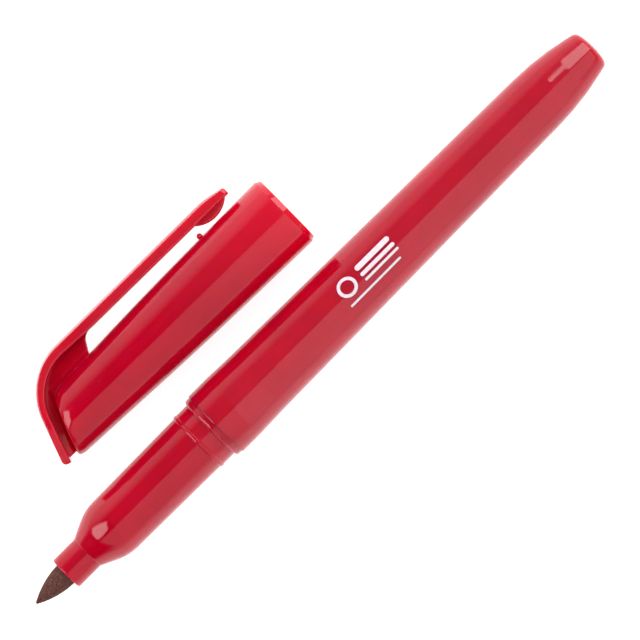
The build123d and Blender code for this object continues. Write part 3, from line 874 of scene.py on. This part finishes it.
WEB_HALF_THICKNESS = 0.9     # at the window
WEB_DRAFT = tan(radians(2.6))    # the web thins towards the strip, to leave the mould
WEB_FILLET = 0.9
WEB_EDGE_ROUND = 0.25
WEB_THIN_Y = -0.7            # towards the notch from here the web gets thinner
WEB_THIN_SLOPE = tan(radians(6))
WEB_SUNK_SIDE = (-47.4, 4.1, 1.0)    # corner of its root inside the cap, with the corner's radius
WEB_SUNK_END = (-50.6, -4.1)
WEB_END = 3.95               # along the strip from the axis
WEB_ROOT = 0.4               # how far the web reaches into the strip
WINDOW_LOW = (-39.5, 4.5)    # foot of the window's end, on the cap, and below it the corner by the clip
WINDOW_CORNER = (-37.3, CLIP_INNER_Y)
WINDOW_ROUND = 2.1
WINDOW_HIGH = (-34.4, CLIP_INNER_Y + 0.16)
WINDOW_POINTS = 26
WEB_ROWS = 70
WINDOW_FADE_ROWS = 24        # rows over which the window's outline turns into straight rows


def outside_cap(x, y):
    """Distance in the middle plane from a point to the cap's side or closed end."""
    beyond_side = y - cap_radius(x)
    beyond_end = (END_X + y * END_LEAN - x) * cos(END_TILT)
    if beyond_side > 0 and beyond_end > 0:
        return hypot(beyond_side, beyond_end)
    return max(beyond_side, beyond_end)


def web_height(x, y, from_edge):
    """Half thickness of the web: flat, with a fillet up the cap and rounded free edges."""
    height = WEB_HALF_THICKNESS + WEB_DRAFT * (x - WINDOW_LOW[0])
    if y < WEB_THIN_Y:
        height -= (WEB_THIN_Y - y) * WEB_THIN_SLOPE
    gap = max(0, outside_cap(x, y))
    height += edge_drop(gap, WEB_FILLET)
    return height - edge_drop(from_edge, WEB_EDGE_ROUND)


def make_web():
    """Thin wall that joins strip and cap and bounds the clip's window."""
    window = rounded([WINDOW_LOW, (*WINDOW_CORNER, WINDOW_ROUND), WINDOW_HIGH], steps=14)
    window = resampled(window, WINDOW_POINTS)
    cap_side = resampled(rounded([WINDOW_LOW, WEB_SUNK_SIDE, WEB_SUNK_END], steps=8), WEB_ROWS)
    sunk = STRIP_THICKNESS - WEB_ROOT
    strip_side = resampled(rounded([
        WINDOW_HIGH, (*strip_corner(BEND_INNER_Y + WEB_ROOT, sunk), BEND_INNER_ROUND),
        strip_face(WEB_END, sunk),
    ], steps=16), WEB_ROWS)
    rows = []
    first_start, first_end = Vector(cap_side[0]), Vector(strip_side[0])
    for index in range(WEB_ROWS):
        start, end = Vector(cap_side[index]), Vector(strip_side[index])
        fade = max(0, 1 - index / WINDOW_FADE_ROWS) ** 1.5
        row = []
        for column, place in enumerate(window):
            share = column / (len(window) - 1)
            bow = (Vector(place) - first_start.lerp(first_end, share)) * fade
            at = start.lerp(end, share) + bow
            row.append((at.x, at.y))
        rows.append(row)
    rows = with_edge_rows(rows, [0.0, 0.03, 0.08, 0.15, 0.25, 0.4])
    points_top, points_bottom = [], []
    for row, from_edge in rows:
        for x, y in row:
            height = web_height(x, y, from_edge)
            points_top.append((x, y, height))
            points_bottom.append((x, y, -height))
    sheet = closed_sheet(points_top, points_bottom, len(rows), WINDOW_POINTS)
    return add_piece("web", *sheet, cap_frame, cap_red)


def resampled(outline, count):
    """The same polyline with evenly spaced points."""
    lengths = [0.0]
    for (x1, y1), (x2, y2) in zip(outline, outline[1:]):
        lengths.append(lengths[-1] + hypot(x2 - x1, y2 - y1))
    result = []
    piece = 0
    for target in spread(0, lengths[-1], count):
        while piece < len(outline) - 2 and lengths[piece + 1] < target:
            piece += 1
        run = lengths[piece + 1] - lengths[piece]
        share = (target - lengths[piece]) / run if run else 0
        (x1, y1), (x2, y2) = outline[piece], outline[piece + 1]
        result.append((x1 + (x2 - x1) * share, y1 + (y2 - y1) * share))
    return result


def with_edge_rows(rows, near):
    """Rows with their distance to the nearest free edge, with extra rows close to both free edges."""
    def between(first, second, distance):
        moved = []
        for (x1, y1), (x2, y2) in zip(first, second):
            step = hypot(x2 - x1, y2 - y1)
            share = min(1, distance / step) if step else 0
            moved.append((x1 + (x2 - x1) * share, y1 + (y2 - y1) * share))
        return moved

    inner_first, inner_last = 2, len(rows) - 3
    made = [(between(rows[0], rows[inner_first], distance), distance) for distance in near]
    made += [(rows[index], WEB_EDGE_ROUND * 2) for index in range(inner_first + 1, inner_last)]
    made += [(between(rows[-1], rows[inner_last], distance), distance) for distance in reversed(near)]
    return made


def closed_sheet(top, bottom, rows, columns):
    """Closed solid between two grids of points."""
    under = len(top)
    faces = grid_faces(rows, columns) + grid_faces(rows, columns, first=under)
    rim = [row * columns for row in range(rows)]
    rim += [(rows - 1) * columns + column for column in range(1, columns)]
    rim += [row * columns + columns - 1 for row in range(rows - 2, -1, -1)]
    rim += [column for column in range(columns - 2, 0, -1)]
    for index, start in enumerate(rim):
        end = rim[(index + 1) % len(rim)]
        faces.append((start, end, end + under, start + under))
    return top + bottom, faces


# ---------------------------------------------------------------- ball and fin

BALL_X = -13.1
BALL_RADIUS = 0.5
BALL_RISE = 0.22
FIN_START_X = -12.6
FIN_END_X = -5.75
FIN_LOW = (-9.15, 6.98)      # lowest point of its round edge
FIN_ROUND = 5.03
FIN_HALF_THICKNESS = 0.6
FIN_ROOT = 0.25              # how far it reaches into the clip
FIN_EDGE_ROUND = 0.25


def make_ball():
    """Small moulded ball under the clip, which stops a sheet of paper."""
    outline = [(BALL_RADIUS * -cos(angle), BALL_RADIUS * sin(angle)) for angle in spread(0, pi, 25)]
    points, faces = turned(outline)
    centre_y = cap_radius(BALL_X) + BALL_RISE
    points = [(x + BALL_X, y + centre_y, z) for x, y, z in points]
    return add_piece("ball", points, faces, cap_frame, cap_red)


def make_fin():
    """Thin fin with a round edge under the clip's tip."""
    top_y = CLIP_INNER_Y + FIN_ROOT
    rings = []
    for x in spread(FIN_START_X, FIN_END_X, 45):
        bottom_y = FIN_LOW[1] + edge_arc(x - FIN_LOW[0], FIN_ROUND)
        radius = min(FIN_EDGE_ROUND, (top_y - bottom_y) * 0.6)
        half = FIN_HALF_THICKNESS
        ring = [(x, top_y, half), (x, bottom_y + radius, half)]
        for angle in spread(0.3, pi / 2, 4):
            ring.append((x, bottom_y + radius * (1 - sin(angle)), half - radius * (1 - cos(angle))))
        ring += [(x, bottom_y, 0)]
        ring += [(at_x, at_y, -at_z) for at_x, at_y, at_z in reversed(ring[:-1])]
        rings.append(ring)
    size = len(rings[0])
    points = [point for ring in rings for point in ring]
    faces = grid_faces(len(rings), size, wrap_columns=True)
    faces.append(tuple(range(size)))
    faces.append(tuple(range((len(rings) - 1) * size, len(rings) * size)))
    return add_piece("fin", points, faces, cap_frame, cap_red)


cap = united(make_cap_body(), make_web(), make_ball())
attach(cap, "cap")
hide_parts("cap_shell")

clip = united(make_clip(), make_fin())
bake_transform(clip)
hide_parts("clip_arm")


# ---------------------------------------------------------------- carried-over CAD nodes

def repaint(node, material):
    """Gives a CAD node its procedural material."""
    slots = frame["nodes"][node].data.materials
    slots.clear()
    slots.append(material)


repaint("inner_cap", natural_polyethylene())
repaint("reservoir_film", clear_film())
repaint("reservoir_fibre", felt("reservoir_felt", (0.32, 0.02, 0.03), 6, 0.12))


# ---------------------------------------------------------------- studio

CEILING = 12.0               # height of the light panels, far off so that every piece sees them alike
FLOOR_HALF = 4.0
LAMP_GLOW = 4.0              # brightness of the lamps as they mirror in polished plastic
LAMP_LIGHT = 2.7             # and as they light dull surfaces
PANEL_DIM = 0.75             # side panel's brightness at its nib end and at its tail end
PANEL_BRIGHT = 1.32
PANEL_RAMP = (-0.1, 0.05)    # where it turns from dim to bright, in ceiling heights along X
# Outlines of the lights are (along, across) in ceiling heights.
SIDE_PANEL = [(-1.2, -0.1), (1.0, -0.1), (1.0, -6.0), (-1.2, -6.0)]
NIB_END_LAMP = [(-0.18, 0.60), (-0.38, 0.07), (-1.2, 0.1), (-1.6, 1.1), (-1.85, 2.2)]
TAIL_END_LAMP = [(0.27, 0.38), (0.50, 0.0), (3.4, 0.0), (3.4, 2.6), (0.62, 1.3)]
FLOOR_DEPTH = 0.00002        # metres below the surface the pieces lie on
FLOOR_GLOW = 0.85
FLOOR_GREYS = ((0.49, 0.49, 0.49, 1), (0.51, 0.51, 0.51, 1))
# Sky ramps are (from, to, brightness there), over a direction's part along one axis.
WALLS = (0.58, 0.99, 0, 1.05)
GAP = (-0.12, 0.04, 0.0, 0.34)
HORIZON = (0.16, 0.06, 0, 1)


def panel_mesh(name, corners):
    """Flat panel on the ceiling, with corners in ceiling heights along and across."""
    mesh = bpy.data.meshes.new(name)
    points = [(x * CEILING, y * CEILING, CEILING) for x, y in corners]
    mesh.from_pydata(points, [], [tuple(range(len(points)))])
    panel = bpy.data.objects.new(name, mesh)
    bpy.context.scene.collection.objects.link(panel)
    return panel


def light_material(name, strength):
    """Plain white emission. Returns the material with its emission node."""
    material = bpy.data.materials.new(name)
    material.use_nodes = True
    nodes = material.node_tree.nodes
    nodes.clear()
    light = nodes.new("ShaderNodeEmission")
    light.inputs["Strength"].default_value = strength
    output = nodes.new("ShaderNodeOutputMaterial")
    material.node_tree.links.new(light.outputs[0], output.inputs[0])
    return material, light


def lamp(name, corners):
    """Lamp in two layers: one that mirrors in gloss, one that lights dull surfaces."""
    glow = panel_mesh(name + "_glow", corners)
    glow.data.materials.append(light_material(name + "_glow", LAMP_GLOW)[0])
    glow.visible_diffuse = False
    glow.visible_shadow = False
    light = panel_mesh(name + "_light", corners)
    light.location.z = CEILING * 0.01
    light.data.materials.append(light_material(name + "_light", LAMP_LIGHT)[0])
    light.visible_glossy = False


def side_panel(corners):
    """Large soft panel that is dimmer towards the nib's end."""
    panel = panel_mesh("side_panel", corners)
    material, light = light_material("side_panel", 1.0)
    nodes, links = material.node_tree.nodes, material.node_tree.links
    place = nodes.new("ShaderNodeTexCoord")
    split = nodes.new("ShaderNodeSeparateXYZ")
    ramp = nodes.new("ShaderNodeMapRange")
    ramp.interpolation_type = "SMOOTHSTEP"
    links.new(place.outputs["Object"], split.inputs[0])
    links.new(split.outputs[0], ramp.inputs["Value"])
    links.new(ramp.outputs[0], light.inputs["Strength"])
    for name, number in (
        ("From Min", PANEL_RAMP[0] * CEILING), ("From Max", PANEL_RAMP[1] * CEILING),
        ("To Min", PANEL_DIM), ("To Max", PANEL_BRIGHT),
    ):
        ramp.inputs[name].default_value = number
    panel.data.materials.append(material)


def make_floor():
    """Pale, slightly glowing table, as in product photography."""
    mesh = bpy.data.meshes.new("floor")
    half = FLOOR_HALF
    corners = [(-half, -half, 0), (half, -half, 0), (half, half, 0), (-half, half, 0)]
    mesh.from_pydata(corners, [], [(0, 1, 2, 3)])
    floor = bpy.data.objects.new("floor", mesh)
    floor.location.z = -FLOOR_DEPTH
    bpy.context.scene.collection.objects.link(floor)
    shader = Shader("floor")
    cloud = shader.remap(shader.noise(0.002, 2.0, 0.5), 0.3, 0.7, 0, 1)
    mesh.materials.append(shader.finish(
        base_color=shader.mix(cloud, *FLOOR_GREYS), roughness=0.9,
        specular_ior_level=0.0, emission_color=(1, 1, 1, 1), emission_strength=FLOOR_GLOW,
    ))


def make_world():
    """Pale studio walls at both long sides, with a dim gap overhead that darkens towards the nib."""
    world = bpy.data.worlds.new("studio")
    world.use_nodes = True
    bpy.context.scene.world = world
    nodes, links = world.node_tree.nodes, world.node_tree.links
    background = nodes["Background"]
    background.inputs["Color"].default_value = (1, 1, 1, 1)
    direction = nodes.new("ShaderNodeTexCoord")
    split = nodes.new("ShaderNodeSeparateXYZ")
    links.new(direction.outputs["Generated"], split.inputs[0])

    def ramp(value, low, high, to_low, to_high):
        node = nodes.new("ShaderNodeMapRange")
        node.interpolation_type = "SMOOTHSTEP"
        links.new(value, node.inputs["Value"])
        for name, number in zip(("From Min", "From Max", "To Min", "To Max"), (low, high, to_low, to_high)):
            node.inputs[name].default_value = number
        return node.outputs[0]

    def combine(operation, first, second=0.0):
        node = nodes.new("ShaderNodeMath")
        node.operation = operation
        for index, value in enumerate((first, second)):
            if isinstance(value, bpy.types.NodeSocket):
                links.new(value, node.inputs[index])
            else:
                node.inputs[index].default_value = value
        return node.outputs[0]

    sideways = combine("ABSOLUTE", split.outputs[1])
    walls = ramp(sideways, *WALLS)
    gap = ramp(split.outputs[0], *GAP)
    horizon = ramp(split.outputs[2], *HORIZON)
    links.new(combine("MAXIMUM", combine("MAXIMUM", walls, gap), horizon), background.inputs["Strength"])


side_panel(SIDE_PANEL)
lamp("nib_end_lamp", NIB_END_LAMP)
lamp("tail_end_lamp", TAIL_END_LAMP)
make_floor()
make_world()


# ---------------------------------------------------------------- camera

VIEW_WIDTH = 102.4           # millimetres across the picture at the pen's axis
CAMERA_DISTANCE = 900.0
CAMERA_ROLL = radians(-45.04)
AIM = Vector((23.6, -0.06, 0))

camera_data = bpy.data.cameras.new("camera")
camera_data.lens = camera_data.sensor_width * CAMERA_DISTANCE / VIEW_WIDTH
camera = bpy.data.objects.new("camera", camera_data)
camera.rotation_euler = (0, 0, CAMERA_ROLL)
camera.location = pen_frame @ (AIM + Vector((0, 0, CAMERA_DISTANCE)))
bpy.context.scene.collection.objects.link(camera)
bpy.context.scene.camera = camera

bpy.context.scene.view_settings.view_transform = "Standard"
bpy.context.scene.view_settings.look = "None"
